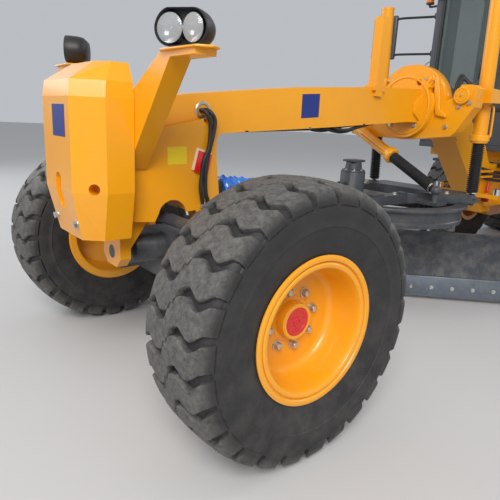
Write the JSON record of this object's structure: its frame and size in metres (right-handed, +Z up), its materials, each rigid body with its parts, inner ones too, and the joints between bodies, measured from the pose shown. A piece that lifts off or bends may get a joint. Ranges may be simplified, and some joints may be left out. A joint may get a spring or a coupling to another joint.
{
  "type": "motor grader",
  "caption": "Articulated motor grader with a turning yawed blade under a box-beam front frame, leaning front wheels, tandem rear wheels and a glazed cab.",
  "frame": {"origin": "on the ground, at the centre of the machine's outline, midway between the nose and the rear bumper and on the centre line", "axes": "+Y points to the rear, -Y forward, +X to the machine's left, +Z up"},
  "size_m": [3.0202, 8.97, 3.3988],
  "materials": {
    "yellow_paint": "gloss",
    "charcoal_paint": "satin",
    "bright_steel": "polished",
    "edge_steel": "satin",
    "tyre_rubber": "matt, dusty tread",
    "hose_rubber": "matt",
    "black_plastic": "satin",
    "red_paint": "gloss",
    "engine_grey": "painted",
    "cab_grey": "satin",
    "cab_glass": "clear, lightly tinted",
    "seat_cover": "matt"
  },
  "bodies": {
    "rear_frame": {"rear_chassis": "yellow_paint", "bumper": "charcoal_paint", "engine_block": "engine_grey", "hood": "yellow_paint", "tanks": "yellow_paint", "exhaust": "charcoal_paint", "cab_frame": "cab_grey", "cab_roof": "cab_grey", "door_hinges": "cab_grey", "cab_glass": "cab_glass", "seat": "seat_cover", "console": "black_plastic", "lamps": "black_plastic", "mirrors": "black_plastic", "steps": "charcoal_paint"},
    "front_frame": {"front_frame": "yellow_paint", "nose_weight": "yellow_paint", "lamp_brackets": "yellow_paint", "headlamps": "black_plastic", "saddle": "yellow_paint", "lock_bar": "red_paint", "side_hoses": "hose_rubber"},
    "front_axle": {"front_axle": "charcoal_paint"},
    "lean_left": {"lean_left": "charcoal_paint"},
    "lean_right": {"lean_right": "charcoal_paint"},
    "lean_bar": {"lean_bar": "charcoal_paint"},
    "lean_barrel": {"lean_barrel": "charcoal_paint"},
    "lean_rod": {"lean_rod": "bright_steel"},
    "knuckle_left": {"knuckle_left": "charcoal_paint"},
    "knuckle_right": {"knuckle_right": "charcoal_paint"},
    "tie_rod": {"tie_rod": "bright_steel"},
    "wheel_front_left": {"tyre_front_left": "tyre_rubber", "rim_front_left": "yellow_paint"},
    "wheel_front_right": {"tyre_front_right": "tyre_rubber", "rim_front_right": "yellow_paint"},
    "tandem_left": {"tandem_left": "yellow_paint"},
    "tandem_right": {"tandem_right": "yellow_paint"},
    "wheel_left_front": {"wheel_left_front": "tyre_rubber"},
    "wheel_left_rear": {"wheel_left_rear": "tyre_rubber"},
    "wheel_right_front": {"wheel_right_front": "tyre_rubber"},
    "wheel_right_rear": {"wheel_right_rear": "tyre_rubber"},
    "drawbar": {"drawbar": "charcoal_paint"},
    "circle": {"blade_circle": "charcoal_paint"},
    "blade_carrier": {"blade_carrier": "charcoal_paint"},
    "blade": {"moldboard": "charcoal_paint", "cutting_edge": "edge_steel"},
    "lift_barrel_left": {"lift_barrel_left": "yellow_paint"},
    "lift_barrel_right": {"lift_barrel_right": "yellow_paint"},
    "lift_rod_left": {"lift_rod_left": "bright_steel"},
    "lift_rod_right": {"lift_rod_right": "bright_steel"},
    "shift_barrel": {"shift_barrel": "yellow_paint"},
    "shift_rod": {"shift_rod": "bright_steel"},
    "artic_barrel_left": {"artic_barrel_left": "yellow_paint"},
    "artic_barrel_right": {"artic_barrel_right": "yellow_paint"},
    "artic_rod_left": {"artic_rod_left": "bright_steel"},
    "artic_rod_right": {"artic_rod_right": "bright_steel"},
    "door_left": {"door_left": "cab_grey", "door_glass_left": "cab_glass"},
    "door_right": {"door_right": "cab_grey", "door_glass_right": "cab_glass"}
  },
  "joints": [
    {"name": "articulation", "type": "hinge", "parent": "rear_frame", "child": "front_frame", "pos_m": [0, 0.065, 0.995], "axis": [0, 0, -1], "range_deg": [-25, 25]},
    {"name": "axle_swing", "type": "hinge", "parent": "front_frame", "child": "front_axle", "pos_m": [0, -3.785, 0.797], "axis": [0, 1, 0], "range_deg": [-15, 15]},
    {"name": "wheel_lean", "type": "hinge", "parent": "front_axle", "child": "lean_left", "pos_m": [0.76, -3.785, 0.6], "axis": [0, 1, 0], "range_deg": [-17, 17]},
    {"name": "lean_right_pin", "type": "hinge", "parent": "front_axle", "child": "lean_right", "pos_m": [-0.76, -3.785, 0.6], "axis": [0, 1, 0], "range_deg": [-17.3, 17.3]},
    {"name": "lean_bar_pin", "type": "hinge", "parent": "lean_left", "child": "lean_bar", "pos_m": [0.64, -3.902, 0.99], "axis": [0, 1, 0], "range_deg": [-20.5, 20.5]},
    {"name": "steering", "type": "hinge", "parent": "lean_left", "child": "knuckle_left", "pos_m": [0.885, -3.785, 0.674], "axis": [0, 0, 1], "range_deg": [-45, 45]},
    {"name": "steering_right", "type": "hinge", "parent": "lean_right", "child": "knuckle_right", "pos_m": [-0.885, -3.785, 0.674], "axis": [0, 0, 1], "range_deg": [-45.5, 45.5]},
    {"name": "tie_rod_slide", "type": "slide", "parent": "front_axle", "child": "tie_rod", "axis": [1, 0, 0], "range_m": [-0.1082, 0.1082]},
    {"name": "wheel_front_left_spin", "type": "hinge", "parent": "knuckle_left", "child": "wheel_front_left", "pos_m": [1.09, -3.785, 0.674], "axis": [1, 0, 0], "continuous": true},
    {"name": "wheel_front_right_spin", "type": "hinge", "parent": "knuckle_right", "child": "wheel_front_right", "pos_m": [-1.09, -3.785, 0.674], "axis": [1, 0, 0], "continuous": true},
    {"name": "tandem_left_swing", "type": "hinge", "parent": "rear_frame", "child": "tandem_left", "pos_m": [0.695, 2.434, 0.674], "axis": [1, 0, 0], "range_deg": [-15, 15]},
    {"name": "wheel_left_front_spin", "type": "hinge", "parent": "tandem_left", "child": "wheel_left_front", "pos_m": [1.09, 1.665, 0.674], "axis": [1, 0, 0], "continuous": true},
    {"name": "wheel_left_rear_spin", "type": "hinge", "parent": "tandem_left", "child": "wheel_left_rear", "pos_m": [1.09, 3.203, 0.674], "axis": [1, 0, 0], "continuous": true},
    {"name": "tandem_right_swing", "type": "hinge", "parent": "rear_frame", "child": "tandem_right", "pos_m": [-0.695, 2.434, 0.674], "axis": [1, 0, 0], "range_deg": [-15, 15]},
    {"name": "wheel_right_front_spin", "type": "hinge", "parent": "tandem_right", "child": "wheel_right_front", "pos_m": [-1.09, 1.665, 0.674], "axis": [1, 0, 0], "continuous": true},
    {"name": "wheel_right_rear_spin", "type": "hinge", "parent": "tandem_right", "child": "wheel_right_rear", "pos_m": [-1.09, 3.203, 0.674], "axis": [1, 0, 0], "continuous": true},
    {"name": "blade_lift", "type": "hinge", "parent": "front_frame", "child": "drawbar", "pos_m": [0, -3.725, 1.13], "axis": [1, 0, 0], "range_deg": [-10, 9]},
    {"name": "circle_turn", "type": "hinge", "parent": "drawbar", "child": "circle", "pos_m": [0, -1.62, 0.96], "axis": [0, 0, 1], "continuous": true},
    {"name": "blade_tip", "type": "hinge", "parent": "circle", "child": "blade_carrier", "pos_m": [-0.28846, -1.34144, 0.35], "axis": [0.6947, 0.7193, 0], "range_deg": [-8, 35]},
    {"name": "blade_shift", "type": "slide", "parent": "blade_carrier", "child": "blade", "axis": [0.6947, 0.7193, 0], "range_m": [-0.55, 0.55]},
    {"name": "lift_trunnion_left", "type": "hinge", "parent": "front_frame", "child": "lift_barrel_left", "pos_m": [0.525, -1.165, 1.855], "axis": [1, 0, 0], "range_deg": [-3.05, 2.74]},
    {"name": "lift_rod_slide_left", "type": "slide", "parent": "lift_barrel_left", "child": "lift_rod_left", "axis": [0, 0.0473, -0.9989], "range_m": [-0.4154, 0.4616]},
    {"name": "lift_trunnion_right", "type": "hinge", "parent": "front_frame", "child": "lift_barrel_right", "pos_m": [-0.525, -1.165, 1.855], "axis": [1, 0, 0], "range_deg": [-3.05, 2.74]},
    {"name": "lift_rod_slide_right", "type": "slide", "parent": "lift_barrel_right", "child": "lift_rod_right", "axis": [0, 0.0473, -0.9989], "range_m": [-0.4154, 0.4616]},
    {"name": "shift_root", "type": "hinge", "parent": "front_frame", "child": "shift_barrel", "pos_m": [-0.52, -1.507, 1.56], "axis": [0.1191, 0.9929, 0], "range_deg": [-14.76, 16.4]},
    {"name": "shift_rod_slide", "type": "slide", "parent": "shift_barrel", "child": "shift_rod", "axis": [0.9014, -0.1082, -0.4192], "range_m": [-0.1404, 0.156]},
    {"name": "artic_root_left", "type": "hinge", "parent": "rear_frame", "child": "artic_barrel_left", "pos_m": [0.48, 0.615, 0.99], "axis": [0, 0, 1], "range_deg": [-6.74, 6.74]},
    {"name": "artic_rod_slide_left", "type": "slide", "parent": "artic_barrel_left", "child": "artic_rod_left", "axis": [-0.1871, -0.9823, 0], "range_m": [-0.1635, 0.1635]},
    {"name": "artic_root_right", "type": "hinge", "parent": "rear_frame", "child": "artic_barrel_right", "pos_m": [-0.48, 0.615, 0.99], "axis": [0, 0, 1], "range_deg": [-6.74, 6.74]},
    {"name": "artic_rod_slide_right", "type": "slide", "parent": "artic_barrel_right", "child": "artic_rod_right", "axis": [0.1871, -0.9823, 0], "range_m": [-0.1635, 0.1635]},
    {"name": "lean_root", "type": "hinge", "parent": "front_axle", "child": "lean_barrel", "pos_m": [0.15, -3.627, 0.88], "axis": [0, 1, 0], "range_deg": [-2.41, 2.41]},
    {"name": "lean_rod_slide", "type": "slide", "parent": "lean_barrel", "child": "lean_rod", "axis": [-0.9997, 0, 0.0253], "range_m": [-0.0892, 0.0892]},
    {"name": "door_left_hinge", "type": "hinge", "parent": "rear_frame", "child": "door_left", "pos_m": [0.776, 1.015, 2.2], "axis": [0, 0, 1], "range_deg": [0, 80]},
    {"name": "door_right_hinge", "type": "hinge", "parent": "rear_frame", "child": "door_right", "pos_m": [-0.776, 1.015, 2.2], "axis": [0, 0, -1], "range_deg": [0, 80]}
  ],
  "couplings": [
    {"joint": "lean_right_pin", "follows": "wheel_lean", "ratio": 1},
    {"joint": "lean_bar_pin", "follows": "wheel_lean", "ratio": -1.1875},
    {"joint": "steering_right", "follows": "steering", "ratio": 1},
    {"joint": "tie_rod_slide", "follows": "steering", "m_per_rad": -0.13505},
    {"joint": "lift_trunnion_left", "follows": "blade_lift", "ratio": 0.29891},
    {"joint": "lift_rod_slide_left", "follows": "blade_lift", "m_per_rad": -2.5928},
    {"joint": "lift_trunnion_right", "follows": "blade_lift", "ratio": 0.29891},
    {"joint": "lift_rod_slide_right", "follows": "blade_lift", "m_per_rad": -2.5928},
    {"joint": "shift_root", "follows": "blade_lift", "ratio": -1.608},
    {"joint": "shift_rod_slide", "follows": "blade_lift", "m_per_rad": -0.87609},
    {"joint": "artic_root_left", "follows": "articulation", "ratio": -0.2642},
    {"joint": "artic_rod_slide_left", "follows": "articulation", "m_per_rad": 0.36729},
    {"joint": "artic_root_right", "follows": "articulation", "ratio": -0.2642},
    {"joint": "artic_rod_slide_right", "follows": "articulation", "m_per_rad": -0.36729},
    {"joint": "lean_root", "follows": "wheel_lean", "ratio": -0.1384},
    {"joint": "lean_rod_slide", "follows": "wheel_lean", "m_per_rad": -0.29458}
  ]
}
